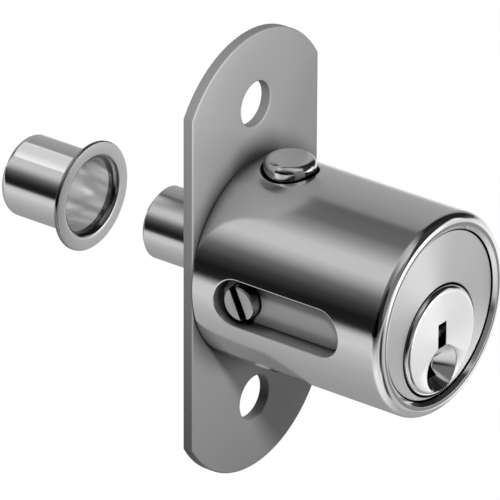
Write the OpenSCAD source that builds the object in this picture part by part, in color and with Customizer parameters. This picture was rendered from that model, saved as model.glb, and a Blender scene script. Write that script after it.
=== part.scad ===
// Push-button lock for a sliding door: a keyed plunger slides in a barrel on a screwed plate,
// and its bolt enters a cup let into the other door. Millimetres; +Z is up, the key goes in along +Y.
// The origin is on the bolt's axis, on the back face of the mounting plate.

/* [Mounting plate] */
// Width of the plate
plate_w = 27.6; // [26:0.2:29.6]
// Height of the plate over its two curved ends
plate_h = 64.8; // [60:0.5:72]
// Thickness of the plate
plate_t = 1.6; // [1.2:0.1:2.4]
// Radius of the plate's curved ends
plate_end_r = 16.1; // [15.2:0.1:20]
// Distance between the two screw holes
screw_spacing = 44.1; // [42:0.5:47]
// Diameter of the two screw holes
screw_hole_d = 6.4; // [4:0.1:7]

/* [Barrel] */
// Outer diameter of the barrel
barrel_d = 28.6; // [27.6:0.2:31]
// Length of the barrel in front of the plate
barrel_l = 31.1; // [30.8:0.1:36]
// Diameter of the bore that the plunger slides in
bore_d = 24; // [23.8:0.1:25]
// Thickness of the wall that closes the bore at the plate
back_wall = 1.4; // [1:0.1:2]
// Radius of the rounded front edge
rim_r = 1.4; // [0.6:0.1:1.8]
// Width of the chamfer inside the front edge
rim_chamfer = 0.45; // [0.2:0.05:0.6]
// Diameter of the spigot that is staked into the plate
spigot_d = 17; // [14:0.5:20]

/* [Guide slot and screw] */
// Width of the slot in the barrel's side
slot_w = 6.8; // [5.6:0.1:8]
// Length of the slot from end to end
slot_l = 20.5; // [18:0.5:22]
// Distance from the plate to the slot's rear end
slot_back = 3.8; // [3:0.1:4.6]
// Diameter of the guide screw's head
guide_head_d = 4.9; // [4:0.1:5.4]
// Height of the guide screw's head
guide_head_h = 2.4; // [1.4:0.1:2.6]
// Width of the driver slot in the guide screw's head
driver_slot_w = 1.2; // [0.6:0.05:1.4]
// Depth of the driver slot
driver_slot_depth = 0.9; // [0.5:0.1:1.1]
// Turn of the driver slot from upright towards the plate, in degrees
driver_slot_turn = 25; // [0:5:90]
// Diameter of the guide screw's thread
guide_thread_d = 3; // [2.5:0.1:3.5]
// Space left behind the guide screw when the lock is pushed in
guide_rest_gap = 1.25; // [0.8:0.05:1.6]

/* [Locking stud] */
// Diameter of the locking stud
stud_d = 7.2; // [6:0.1:7.6]
// Height of the stud above the barrel
stud_proud = 1.7; // [1:0.1:2.2]
// Distance from the plate to the stud's axis
stud_back = 5.7; // [5.4:0.1:6.4]
// Widening of the stud's hole at the barrel's surface
stud_relief = 0.35; // [0.2:0.05:0.5]
// Depth of that widening
stud_relief_depth = 1.4; // [0.8:0.1:1.8]
// Radius of the stud's rounded top edge
stud_edge_r = 1; // [0.3:0.1:1.2]
// Thickness of the lip under the stud's groove
stud_lip = 0.45; // [0.3:0.05:0.5]

/* [Plunger] */
// Depth of the plunger's face behind the barrel's front
face_inset = 0.6; // [0.2:0.1:1.4]
// Width of the chamfer round the plunger's face
face_chamfer = 0.45; // [0.1:0.05:0.6]
// Distance of the key plug's axis below the bolt's axis
plug_drop = 3.65; // [3.2:0.05:3.8]
// Thickness of the skirt round the bolt carrier
skirt_t = 1.2; // [1:0.05:1.4]
// Diameter of the pin that locks the bolt carrier in the skirt
carrier_pin_d = 2; // [1.5:0.1:2.5]

/* [Bolt] */
// Diameter of the bolt
bolt_d = 10.3; // [9:0.1:10.6]
// Length of the bolt behind the plate when locked
bolt_out = 14.1; // [12:0.1:14.2]
// Chamfer on the bolt's end
bolt_chamfer = 0.6; // [0.3:0.1:1.2]

/* [Key plug] */
// Diameter of the plug that turns with the key
plug_d = 12.7; // [12:0.1:12.9]
// Diameter of the plug's head in the plunger's face
plug_head_d = 15.5; // [15:0.1:15.8]
// Thickness of the head that is let into the face
plug_head_t = 1.2; // [0.8:0.1:1.5]
// Height of the head above the plunger's face
plug_proud = 0.6; // [0.3:0.05:1]
// Radius of the head's rounded shoulder
shoulder_r = 0.85; // [0.4:0.05:1]
// Width of the keyway
keyway_w = 1.8; // [1.4:0.1:2]
// Height of the keyway's top above the plug's axis
keyway_top = 2.7; // [2:0.1:3]
// Thickness of the metal left under the keyway
keyway_floor = 0.45; // [0.3:0.05:1.5]
// Diameter of the key funnel at the plug's face
funnel_d = 6.6; // [5:0.1:6.8]
// Distance of the funnel's axis below the plug's axis
funnel_drop = 4.05; // [3.6:0.05:4.2]
// Depth of the funnel
funnel_depth = 2.4; // [1.5:0.1:2.6]
// Diameter of the funnel's foot
funnel_foot_d = 2.6; // [1.6:0.1:3.2]
// Distance of the cam pin's axis from the plug's axis
cam_throw = 3; // [2.5:0.05:3]
// Diameter of the cam pin
cam_pin_d = 2; // [1.6:0.1:2]

/* [Pin tumblers] */
// Diameter of the pins
pin_d = 2; // [1.8:0.05:2]
// Distance from one pin to the next
pin_pitch = 2.5; // [2.4:0.02:2.6]
// Distance from the plug's face to the first pin
first_pin = 3.2; // [3.1:0.05:3.4]
// Length of the driver pins
driver_l = 3.5; // [2.8:0.1:4]
// Thickness of the plugs that close the pin chambers
chamber_plug_t = 1; // [0.8:0.1:1.3]

/* [Springs] */
// Wire thickness of the return spring round the bolt
return_wire = 0.85; // [0.5:0.05:0.9]
// Outer diameter of the spring under the stud's yoke
stud_spring_d = 2.1; // [1.6:0.1:2.2]

/* [Strike cup] */
// Distance from the bolt's end to the cup's mouth
cup_gap = 12.2; // [8:0.2:30]
// Depth of the cup over all
cup_l = 11.9; // [10:0.1:14]
// Thickness of the cup's wall
cup_wall = 0.5; // [0.4:0.05:0.8]
// Diameter of the cup's flange
cup_flange_d = 15.6; // [14.4:0.1:17]
// Thickness of the cup's flange
cup_flange_t = 0.6; // [0.4:0.05:1]
// Radius of the cup's flared mouth
cup_flare_r = 0.9; // [0.5:0.05:1]
// Radius of the cup's rear corner
cup_corner_r = 1.3; // [1:0.1:2]
// Room between the bolt and the cup all round
cup_clear = 0.15; // [0.1:0.05:0.3]

/* [Fits] */
// Room all round between the plunger and its bore
slide_clear = 0.04; // [0.02:0.01:0.08]
// Room all round between other parts that turn or slide
turn_clear = 0.04; // [0.02:0.01:0.06]
// Room between parts that must stay clear of each other
free_clear = 0.2; // [0.15:0.01:0.25]

/* [Hidden] */
$fn = 96;

// Heights of the key's cuts under the pins, from the plug's axis
key_cuts = [0.6, -0.4, 1.2, 0, 0.9];
pin_count = len(key_cuts);

// How far a cutting tool runs past the face that it cuts
past = 1;

// Barrel, along Y from the plate's back face at 0
barrel_r = barrel_d / 2;
bore_r = bore_d / 2;
barrel_wall = barrel_r - bore_r;
plate_front = -plate_t;
barrel_front = plate_front - barrel_l;
bore_back = plate_front - back_wall;
rim_land = 0.1;
rim_share = 0.6;
rim_round = min(rim_r, rim_share * barrel_wall);
rim_bevel = min(rim_chamfer, barrel_wall - rim_round - rim_land);
bolt_r = bolt_d / 2;

// Guide screw; the plunger travels until its head meets the slot's front end
guide_y = plate_front - slot_back - guide_rest_gap - guide_head_d / 2;
guide_seat_depth = 0.7;
guide_seat = bore_r - guide_seat_depth;
guide_seat_room = 0.15;
guide_bevel = 0.25;
guide_tip = bolt_r / 2;

// Place of the locking stud
stud_y = plate_front - stud_back;
stud_r = stud_d / 2;

// Plunger and bolt carrier, along Y
plunger_r = bore_r - slide_clear;
plunger_back = bore_back - free_clear;
plunger_face = barrel_front + face_inset;
web_back = guide_y + guide_thread_d / 2 + free_clear;
bolt_past_screw = 1.9;
yoke_past_stud = 1.6;
bolt_tail = min(guide_y - guide_thread_d / 2 - bolt_past_screw, stud_y - stud_r - yoke_past_stud);
yoke_t = 2.2;
yoke_play = 0.1;
yoke_room_back = bolt_tail - free_clear;
yoke_back = yoke_room_back - yoke_play;
yoke_front = yoke_back - yoke_t;
carrier_front = yoke_front - yoke_play;
carrier_r = plunger_r - skirt_t;
carrier_pin_depth = 3;
carrier_pin_tip = carrier_r - carrier_pin_depth;

// Springs round the bolt
spring_in_r = bolt_r + free_clear;
spring_out_r = spring_in_r + return_wire;
pocket_r = spring_out_r + free_clear;

// Locking stud
stud_top = barrel_r + stud_proud;
cam_angle = 45;
cam_offset = cam_throw * cos(cam_angle);
cam_travel = 2 * cam_offset;
stud_foot = spring_out_r + free_clear + cam_travel;
notch_room = 0.35;
notch_w = stud_d + 2 * notch_room;
notch_overlap = 0.4;
notch_floor = pocket_r - notch_overlap;
groove_depth = 1.45;
groove_back = stud_y - stud_r + groove_depth;
tongue_t = 0.5;
tongue_w = 3;
link_play = 0.1;
tongue_z = stud_foot + stud_lip + link_play;

// Yoke, driven by the cam pin
cam_r = cam_pin_d / 2;
cam_z = cam_offset - plug_drop;
cam_room = 0.15;
cam_slot_r = cam_r + cam_room;
cam_slot_play = 0.1;
foot_edge = 1.05;
foot_end = 1.45;
foot_half_h = cam_slot_r + foot_edge;
foot_half_w = cam_throw + cam_slot_r + foot_end;
stem_half_w = 3.4;
stem_top = sqrt(pow(plunger_r, 2) - pow(stem_half_w, 2)) - free_clear;
yoke_room_low = cam_z - foot_half_h - cam_travel - free_clear;
well_floor_t = 0.75;
spring_well_low = well_floor_t - carrier_r;

// Key plug, along Y
plug_r = plug_d / 2;
plug_bore_r = plug_r + turn_clear;
plug_face = plunger_face - plug_proud;
plug_head_r = plug_head_d / 2;
plug_head_back = plunger_face + plug_head_t;
plug_end_gap = 0.5;
plug_tail = carrier_front - plug_end_gap;
clip_t = 0.6;
clip_room = 1.9;
clip_face = carrier_front - clip_room;
clip_reach = 0.55;
clip_r = plug_bore_r + clip_reach;
clip_side_room = 0.1;
clip_play = 0.02;
clip_end_play = 0.04;
clip_gap = 3;
groove_cut = 0.75;
clip_groove_r = plug_r - groove_cut;
cam_pin_seat = 2.5;
funnel_slope = (funnel_d - funnel_foot_d) / 2 / funnel_depth;
keyway_foot = plug_r - keyway_floor;
right_ward = [-3, -1.3];
left_ward = [-4.9, -3.6];
ward_edge = 0.1;

// Pin tumblers
pin_r = pin_d / 2;
function pin_y(i) = plug_face + first_pin + (i - 1) * pin_pitch;
chamber_r = pin_r + turn_clear;
chamber_floor = -2.8;
key_pin_short = 0.25;
key_pin_top = plug_r - key_pin_short;
pin_tip_h = 0.7;
pin_tip_r = 0.3;
driver_lift = 0.01;
driver_foot = plug_bore_r + driver_lift;
driver_top = driver_foot + driver_l;
chamber_step = 0.15;
chamber_plug_r = pin_r + chamber_step;
chamber_plug_sunk = 0.1;
chamber_plug_top = sqrt(pow(plunger_r, 2) - pow(chamber_plug_r, 2)) - chamber_plug_sunk;
chamber_plug_z = chamber_plug_top - chamber_plug_t;
pin_spring_room = 0.08;
pin_spring_out_r = pin_r - pin_spring_room;
pin_spring_in_r = pin_r / 2;
keyway_past_pin = 0.3;
keyway_end = pin_y(pin_count) + pin_r + keyway_past_pin;

// Strike cup, along Y
cup_mouth = bolt_out + cup_gap;
cup_in_r = bolt_r + cup_clear;
cup_out_r = cup_in_r + cup_wall;
fillet_overlap = 0.01;

// A solid turned about the Y axis from an outline drawn with radius across and Y upwards
module turned() rotate([-90, 0, 0]) rotate_extrude() children();

// A round bar along Y
module bar_y(from, to, r) translate([0, from, 0]) rotate([-90, 0, 0]) cylinder(h = to - from, r = r);

// A round bar along Z
module bar_z(y, from, to, r) translate([0, y, from]) cylinder(h = to - from, r = r);

// A round bar along X that starts at one distance to the left of the middle and ends at another
module bar_left(from, to, r) translate([-from, 0, 0]) rotate([0, -90, 0]) cylinder(h = to - from, r = r);

// A hollow sleeve along Z, the room that a small coil spring fills
module sleeve_z(from, to, r_in, r_out) translate([0, 0, from]) difference() {
    cylinder(h = to - from, r = r_out);
    translate([0, 0, -past]) cylinder(h = to - from + 2 * past, r = r_in);
}

module plate_outline() intersection() {
    square([plate_w, plate_h], center = true);
    union() {
        square([plate_w, plate_h - 2 * plate_end_r], center = true);
        for (side = [-1, 1]) translate([0, side * (plate_h / 2 - plate_end_r)]) circle(r = plate_end_r);
    }
}

module mounting_plate() color("silver") rotate([90, 0, 0]) linear_extrude(plate_t) difference() {
    plate_outline();
    circle(d = spigot_d);
    for (side = [-1, 1]) translate([0, side * screw_spacing / 2]) circle(d = screw_hole_d);
}

// The slot in the barrel's left side, as the space that it leaves
module slot_space() {
    slot_r = slot_w / 2;
    rear = plate_front - slot_back - slot_r;
    front = plate_front - slot_back - slot_l + slot_r;
    for (y = [rear, front]) translate([0, y, 0]) bar_left(bore_r - past, barrel_r + past, slot_r);
    translate([-barrel_r - past, front, -slot_r]) cube([barrel_wall + 2 * past, rear - front, slot_w]);
}

module barrel_outline() {
    hole_r = bolt_r + turn_clear;
    difference() {
        translate([bore_r, barrel_front]) square([barrel_wall, barrel_l]);
        translate([barrel_r - rim_round, barrel_front]) difference() {
            translate([0, -past]) square([rim_round + past, rim_round + past]);
            translate([0, rim_round]) circle(r = rim_round);
        }
        translate([bore_r, barrel_front]) polygon([
            [-past, -past],
            [rim_bevel + past, -past],
            [-past, rim_bevel + past]
        ]);
    }
    translate([hole_r, bore_back]) square([barrel_r - hole_r, back_wall]);
    translate([hole_r, plate_front]) square([spigot_d / 2 - hole_r, plate_t]);
}

module housing() color("gainsboro") difference() {
    turned() barrel_outline();
    slot_space();
    bar_z(stud_y, bore_r - past, barrel_r + past, stud_r + turn_clear);
    bar_z(stud_y, barrel_r - stud_relief_depth, barrel_r + past, stud_r + stud_relief);
}

// The way that the locking stud and its yoke keep clear, along the top from the rear end
module stud_notch() translate([-notch_w / 2, carrier_front, notch_floor])
    cube([notch_w, plunger_back + past - carrier_front, plunger_r]);

module plunger() color("whitesmoke") difference() {
    turned() polygon([
        [0, plunger_face],
        [plunger_r - face_chamfer, plunger_face],
        [plunger_r, plunger_face + face_chamfer],
        [plunger_r, plunger_back],
        [carrier_r, plunger_back],
        [carrier_r, carrier_front],
        [0, carrier_front]
    ]);
    translate([0, 0, -plug_drop]) {
        bar_y(plunger_face - past, carrier_front + past, plug_bore_r);
        bar_y(plunger_face - past, plug_head_back, plug_head_r + turn_clear);
        bar_y(clip_face, carrier_front + past, clip_r + clip_side_room);
    }
    for (i = [1 : pin_count]) {
        bar_z(pin_y(i), -plug_drop, plunger_r + past, chamber_r);
        bar_z(pin_y(i), chamber_plug_z, plunger_r + past, chamber_plug_r);
    }
    stud_notch();
    guide_hole();
    carrier_pin_hole();
}

// The hole that the guide screw is driven into, with the flat that its head seats on
module guide_hole() translate([0, guide_y, 0]) {
    bar_left(guide_tip - free_clear, plunger_r + past, guide_thread_d / 2);
    bar_left(guide_seat, plunger_r + past, guide_head_d / 2 + guide_seat_room);
}

module carrier_pin_hole() translate([0, guide_y, 0]) rotate([0, 0, 180])
    bar_left(carrier_pin_tip, plunger_r + past, carrier_pin_d / 2);

module yoke_space() {
    deep = yoke_room_back - carrier_front + past;
    foot_top = cam_z + foot_half_h + free_clear;
    foot_w = 2 * (foot_half_w + free_clear);
    stem_w = 2 * (stem_half_w + free_clear);
    well_w = stud_spring_d + 2 * free_clear;
    translate([-foot_w / 2, carrier_front - past, yoke_room_low])
        cube([foot_w, deep, foot_top - yoke_room_low]);
    translate([-stem_w / 2, carrier_front - past, 0]) cube([stem_w, deep, plunger_r + past]);
    translate([-well_w / 2, carrier_front - past, spring_well_low])
        cube([well_w, deep, yoke_room_low + past - spring_well_low]);
}

module bolt_carrier() color("lightgray") difference() {
    bar_y(carrier_front, plunger_back, carrier_r);
    bar_y(carrier_front - past, plunger_back + past, bolt_r);
    bar_y(web_back, plunger_back + past, pocket_r);
    stud_notch();
    yoke_space();
    guide_hole();
    carrier_pin_hole();
}

module carrier_pin() color("dimgray") translate([0, guide_y, 0]) rotate([0, 0, 180])
    bar_left(carrier_pin_tip, plunger_r - free_clear, carrier_pin_d / 2);

module bolt() color("silver") difference() {
    turned() polygon([
        [0, bolt_tail],
        [bolt_r, bolt_tail],
        [bolt_r, bolt_out - bolt_chamfer],
        [bolt_r - bolt_chamfer, bolt_out],
        [0, bolt_out]
    ]);
    guide_hole();
}

module guide_screw() color("gray") translate([0, guide_y, 0]) {
    head_r = guide_head_d / 2;
    bar_left(guide_tip, guide_seat + past, guide_thread_d / 2);
    difference() {
        translate([-guide_seat, 0, 0]) rotate([0, -90, 0]) rotate_extrude() polygon([
            [0, 0],
            [head_r, 0],
            [head_r, guide_head_h - guide_bevel],
            [head_r - guide_bevel, guide_head_h],
            [0, guide_head_h]
        ]);
        translate([-guide_seat - guide_head_h, 0, 0]) rotate([-driver_slot_turn, 0, 0])
            cube([2 * driver_slot_depth, driver_slot_w, 2 * guide_head_d], center = true);
    }
}

module chamber_plugs() color("goldenrod") for (i = [1 : pin_count])
    bar_z(pin_y(i), chamber_plug_z, chamber_plug_top, chamber_plug_r);

module keyway_outline() {
    half = keyway_w / 2;
    polygon([
        [-half, -keyway_foot],
        [half, -keyway_foot],
        [half, right_ward[0]],
        [ward_edge, right_ward[0]],
        [ward_edge, right_ward[1]],
        [half, right_ward[1]],
        [half, keyway_top],
        [-half, keyway_top],
        [-half, left_ward[1]],
        [-ward_edge, left_ward[1]],
        [-ward_edge, left_ward[0]],
        [-half, left_ward[0]]
    ]);
}

module plug_outline() {
    head_r = plug_head_r;
    translate([0, plug_head_back]) square([plug_r, plug_tail - plug_head_back]);
    difference() {
        translate([0, plug_face]) square([head_r, plug_head_back - plug_face]);
        translate([head_r - shoulder_r, plug_face]) difference() {
            translate([0, -past]) square([shoulder_r + past, shoulder_r + past]);
            translate([0, shoulder_r]) circle(r = shoulder_r);
        }
    }
}

module key_plug() color("white") translate([0, 0, -plug_drop]) difference() {
    turned() plug_outline();
    translate([0, keyway_end, 0]) rotate([90, 0, 0]) linear_extrude(keyway_end - plug_face + past)
        keyway_outline();
    translate([0, plug_face, -funnel_drop]) turned() polygon([
        [0, -past],
        [funnel_d / 2 + funnel_slope * past, -past],
        [funnel_foot_d / 2, funnel_depth],
        [0, funnel_depth]
    ]);
    for (i = [1 : pin_count]) bar_z(pin_y(i), chamber_floor, plug_r + past, chamber_r);
    turned() translate([clip_groove_r, clip_face - clip_play])
        square([plug_r, clip_t + clip_play + clip_end_play]);
    translate([cam_offset, 0, cam_offset]) bar_y(plug_tail - cam_pin_seat, plug_tail + past, cam_r);
}

module plug_clip() color("darkgray") translate([0, clip_face + clip_play, -plug_drop]) difference() {
    turned() translate([clip_groove_r + clip_play, 0]) square([clip_r - clip_groove_r - clip_play, clip_t]);
    translate([-clip_gap / 2, -past, -clip_r - past]) cube([clip_gap, clip_t + 2 * past, clip_r]);
}

module cam_pin() color("dimgray") translate([cam_offset, 0, cam_z])
    bar_y(plug_tail - cam_pin_seat, yoke_back, cam_r);

module locking_stud() color("gainsboro") difference() {
    translate([0, stud_y, 0]) rotate_extrude() union() {
        translate([0, stud_foot]) square([stud_r, stud_top - stud_edge_r - stud_foot]);
        translate([0, stud_foot]) square([stud_r - stud_edge_r, stud_top - stud_foot]);
        intersection() {
            translate([stud_r - stud_edge_r, stud_top - stud_edge_r]) circle(r = stud_edge_r);
            square([stud_r, stud_top]);
        }
    }
    translate([-stud_r - past, groove_back - stud_d, tongue_z - link_play])
        cube([stud_d + 2 * past, stud_d, tongue_t + 2 * link_play]);
}

module stud_yoke() color("tan") difference() {
    union() {
        translate([-foot_half_w, yoke_front, cam_z - foot_half_h])
            cube([2 * foot_half_w, yoke_t, 2 * foot_half_h]);
        translate([-stem_half_w, yoke_front, cam_z]) cube([2 * stem_half_w, yoke_t, stem_top - cam_z]);
        translate([-tongue_w / 2, yoke_front, stem_top - past])
            cube([tongue_w, yoke_t, tongue_z + tongue_t - stem_top + past]);
        translate([-tongue_w / 2, yoke_back - past, tongue_z])
            cube([tongue_w, groove_back - link_play - yoke_back + past, tongue_t]);
    }
    for (x = [cam_offset - cam_slot_play, cam_throw + cam_slot_play]) translate([x, 0, cam_z])
        bar_y(yoke_front - past, yoke_back + past, cam_slot_r);
    translate([cam_offset - cam_slot_play, yoke_front - past, cam_z - cam_slot_r])
        cube([cam_throw - cam_offset + 2 * cam_slot_play, yoke_t + 2 * past, 2 * cam_slot_r]);
}

module stud_spring() color("slategray") translate([0, (yoke_front + yoke_back) / 2, 0])
    sleeve_z(spring_well_low, cam_z - foot_half_h, stud_spring_d / 4, stud_spring_d / 2);

module return_spring() color("slategray") difference() {
    bar_y(web_back, bore_back, spring_out_r);
    bar_y(web_back - past, bore_back + past, spring_in_r);
}

module key_pin(i) color("goldenrod") translate([0, pin_y(i), -plug_drop + key_cuts[i - 1]]) {
    cylinder(h = pin_tip_h, r1 = pin_tip_r, r2 = pin_r);
    translate([0, 0, pin_tip_h]) cylinder(h = key_pin_top - key_cuts[i - 1] - pin_tip_h, r = pin_r);
}

module driver_pin(i) color("khaki")
    translate([0, 0, -plug_drop]) bar_z(pin_y(i), driver_foot, driver_top, pin_r);

module pin_spring(i) color("slategray") translate([0, pin_y(i), 0])
    sleeve_z(driver_top - plug_drop, chamber_plug_z, pin_spring_in_r, pin_spring_out_r);

// The cup is a thin shell: one outline, less the same outline drawn in by the wall
module cup_shape(r, length, corner) {
    square([r, length - corner]);
    square([r - corner, length]);
    translate([r - corner, length - corner]) circle(r = corner);
}

module cup_fillet(r, radius) translate([r - fillet_overlap, 0]) difference() {
    square([radius + fillet_overlap, radius]);
    translate([radius + fillet_overlap, radius]) circle(r = radius);
}

module strike_cup() color("silver") translate([0, cup_mouth, 0]) turned() intersection() {
    square([cup_flange_d, cup_l + past]);
    difference() {
        union() {
            cup_shape(cup_out_r, cup_l, cup_corner_r);
            square([cup_flange_d / 2, cup_flange_t]);
            translate([0, cup_flange_t]) cup_fillet(cup_out_r, cup_flare_r);
        }
        translate([0, -past]) cup_shape(cup_in_r, cup_l - cup_wall + past, cup_corner_r - cup_wall);
        cup_fillet(cup_in_r, cup_flare_r);
    }
}

mounting_plate();
housing();
plunger();
bolt_carrier();
carrier_pin();
bolt();
guide_screw();
chamber_plugs();
key_plug();
plug_clip();
cam_pin();
locking_stud();
stud_yoke();
stud_spring();
return_spring();
strike_cup();
for (i = [1 : pin_count]) {
    key_pin(i);
    driver_pin(i);
    pin_spring(i);
}
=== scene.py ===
import math

import bmesh
import bpy
from mathutils import Matrix, Vector


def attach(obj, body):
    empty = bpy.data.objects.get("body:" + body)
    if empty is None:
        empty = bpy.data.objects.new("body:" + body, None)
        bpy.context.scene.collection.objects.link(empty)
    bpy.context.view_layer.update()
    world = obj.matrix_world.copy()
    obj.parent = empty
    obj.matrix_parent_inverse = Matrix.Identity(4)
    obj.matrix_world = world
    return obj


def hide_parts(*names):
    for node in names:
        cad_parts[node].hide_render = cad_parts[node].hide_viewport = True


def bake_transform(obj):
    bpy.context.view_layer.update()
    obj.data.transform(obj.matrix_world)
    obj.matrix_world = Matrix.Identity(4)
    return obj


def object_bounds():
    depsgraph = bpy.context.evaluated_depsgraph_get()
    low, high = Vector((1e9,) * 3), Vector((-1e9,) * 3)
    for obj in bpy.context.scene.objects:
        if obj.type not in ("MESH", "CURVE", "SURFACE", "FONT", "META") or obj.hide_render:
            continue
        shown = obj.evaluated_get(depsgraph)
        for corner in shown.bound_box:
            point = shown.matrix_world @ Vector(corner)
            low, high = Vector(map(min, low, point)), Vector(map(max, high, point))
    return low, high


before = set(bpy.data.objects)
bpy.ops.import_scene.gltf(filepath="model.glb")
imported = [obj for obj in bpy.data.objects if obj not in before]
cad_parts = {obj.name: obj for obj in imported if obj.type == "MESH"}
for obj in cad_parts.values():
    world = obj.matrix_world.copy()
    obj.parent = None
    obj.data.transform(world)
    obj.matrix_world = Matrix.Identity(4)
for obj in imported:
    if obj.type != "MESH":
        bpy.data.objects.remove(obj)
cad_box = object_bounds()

# The camera stands in front of the lock, to its left and above it, far off with a long lens,
# so that the lines of the barrel stay nearly parallel.
MM = 0.001
camera_place = Vector((-712.8, -540.5, 447.6)) * MM
camera_ahead = Vector((0.7129, 0.5399, -0.4476)).normalized()
level_right = Vector((0.6054, -0.7959, 0.0041))
camera_up = level_right.cross(camera_ahead).normalized()
camera_right = camera_ahead.cross(camera_up)
lens = bpy.data.cameras.new("camera")
lens.sensor_width = 36.0
lens.lens = 535.3
lens.clip_start = 0.05
lens.clip_end = 20.0
camera = bpy.data.objects.new("camera", lens)
bpy.context.scene.collection.objects.link(camera)
camera_turn = Matrix((camera_right, camera_up, -camera_ahead)).transposed()
camera.matrix_world = Matrix.Translation(camera_place) @ camera_turn.to_4x4()
bpy.context.scene.camera = camera
bpy.context.scene.view_settings.view_transform = "Standard"


# The studio is a white tent: a white table and white paper behind it, large soft panels all
# round, and black cards between them that draw the dark streaks on polished metal.
def add_node(tree, kind, inputs=None, **settings):
    made = tree.nodes.new(kind)
    for name, value in settings.items():
        setattr(made, name, value)
    for name, value in (inputs or {}).items():
        if isinstance(value, bpy.types.NodeSocket):
            tree.links.new(value, made.inputs[name])
        else:
            made.inputs[name].default_value = value
    return made


def maths(tree, work, first, second=0.0, third=0.0):
    return add_node(tree, "ShaderNodeMath", {0: first, 1: second, 2: third}, operation=work).outputs[0]


def panels(tree, along, stops):
    """Brightness of the tent along one sweep, from (degrees, brightness) stops."""
    ramp = tree.nodes.new("ShaderNodeValToRGB")
    tree.links.new(along, ramp.inputs[0])
    elements = ramp.color_ramp.elements
    while len(elements) < len(stops):
        elements.new(0.5)
    for element, (degrees, brightness) in zip(elements, stops):
        element.position = (degrees + 180) / 360
        element.color = (brightness, brightness, brightness, 1)
    return ramp.outputs[0]


# How bright the tent is all the way round the lock's long axis, at the door's end, beside the
# lock and on the key's side: (degrees, brightness), from 0 at the left over 90 at the top.
BEHIND = [(-180, 0.43), (-172, 0.57), (-162, 1.0), (-150, 1.0), (-146, 0.3), (-122, 0.35),
          (-92, 0.39), (-62, 0.48), (-42, 0.6), (-30, 0.75), (-18, 0.7), (-13, 0.3), (-10, 0.01),
          (4, 0.01), (16, 0.05), (28, 0.16), (40, 0.5), (48, 0.68), (62, 0.66), (78, 0.33),
          (90, 0.16), (112, 0.13), (119, 0.29), (140, 0.37), (180, 0.43)]
BESIDE = [(-180, 0.08), (-174, 0.8), (-158, 1.1), (-142, 1.1), (-137, 0.45), (-110, 0.45), (-80, 0.9),
          (-50, 1.0), (-30, 0.65), (-18, 0.2), (-10, 0.0), (14, 0.0), (36, 0.12), (56, 0.22),
          (74, 0.5), (90, 0.55), (104, 0.15), (114, 0.02), (170, 0.02), (180, 0.08)]
IN_FRONT = [(-180, 0.9), (-165, 0.8), (-148, 0.85), (-130, 0.55), (-110, 0.5), (-80, 0.9), (-50, 0.8),
            (-30, 0.55), (-18, 0.2), (-8, 0.02), (35, 0.1), (58, 0.35), (72, 0.6), (98, 0.6), (110, 0.05),
            (160, 0.03), (169, 0.9), (180, 1.0)]
# Small cards and lamps on the key's side: (direction, full and faded degrees, brightness).
SPOTS = [((0.545, -0.825, -0.15), 5, 16, 3.0), ((-0.25, -0.9, 0.27), 16, 28, 0.2),
         ((-0.8, -0.5, 0.33), 12, 22, 0.02), ((0.713, -0.54, -0.448), 3, 8, 0.3),
         ((-0.11, -0.89, -0.44), 9, 18, 0.04), ((0.15, -0.7, -0.69), 6, 14, 0.08)]


def sweep_band(tree, low, high, value):
    """Rises smoothly from 0 to 1 as a value goes from low to high."""
    return add_node(tree, "ShaderNodeMapRange", {0: value, 1: low, 2: high},
                    interpolation_type="SMOOTHSTEP").outputs[0]


def blend_light(tree, share, under, over):
    return add_node(tree, "ShaderNodeMix", {0: share, 6: under, 7: over}, data_type="RGBA").outputs[2]


studio = bpy.data.worlds.new("studio_tent")
studio.use_nodes = True
tree = studio.node_tree
tree.nodes.clear()
ray = add_node(tree, "ShaderNodeTexCoord").outputs["Generated"]
ray_x, ray_y, ray_z = add_node(tree, "ShaderNodeSeparateXYZ", {0: ray}).outputs
leftward = maths(tree, "MULTIPLY", ray_x, -1.0)
sweep = maths(tree, "ARCTAN2", ray_z, leftward)
sweep = maths(tree, "MULTIPLY_ADD", sweep, 0.5 / math.pi, 0.5)
# The light from beside gives way to the others as the view turns along the lock's axis.
front_start = -0.44
front_full = -0.5
back_start = 0.0
back_full = 0.3
tent = blend_light(tree, sweep_band(tree, front_start, front_full, ray_y), panels(tree, sweep, BESIDE),
                   panels(tree, sweep, IN_FRONT))
tent = blend_light(tree, sweep_band(tree, back_start, back_full, ray_y), tent,
                   panels(tree, sweep, BEHIND))
for aim, full, faded, brightness in SPOTS:
    facing = add_node(tree, "ShaderNodeVectorMath", {0: ray, 1: Vector(aim).normalized()},
                      operation="DOT_PRODUCT").outputs["Value"]
    share = sweep_band(tree, math.cos(math.radians(faded)), math.cos(math.radians(full)), facing)
    tent = blend_light(tree, share, tent, (brightness, brightness, brightness, 1))
seen = add_node(tree, "ShaderNodeLightPath").outputs["Is Camera Ray"]
paper = blend_light(tree, seen, tent, (1, 1, 1, 1))
light = add_node(tree, "ShaderNodeBackground", {"Color": paper, "Strength": 1.0})
add_node(tree, "ShaderNodeOutputWorld", {"Surface": light.outputs[0]})
bpy.context.scene.world = studio


def soft_light(name, size, energy, place, aim, mirrored=False):
    """A round lamp; unless it is mirrored, polished metal doesn't show it."""
    lamp = bpy.data.lights.new(name, "AREA")
    lamp.shape = "DISK"
    lamp.size = size * MM
    lamp.energy = energy
    holder = bpy.data.objects.new(name, lamp)
    bpy.context.scene.collection.objects.link(holder)
    holder.location = Vector(place) * MM
    holder.rotation_euler = (Vector(place) - Vector(aim)).to_track_quat("Z", "Y").to_euler()
    holder.visible_camera = False
    holder.visible_glossy = mirrored


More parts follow.
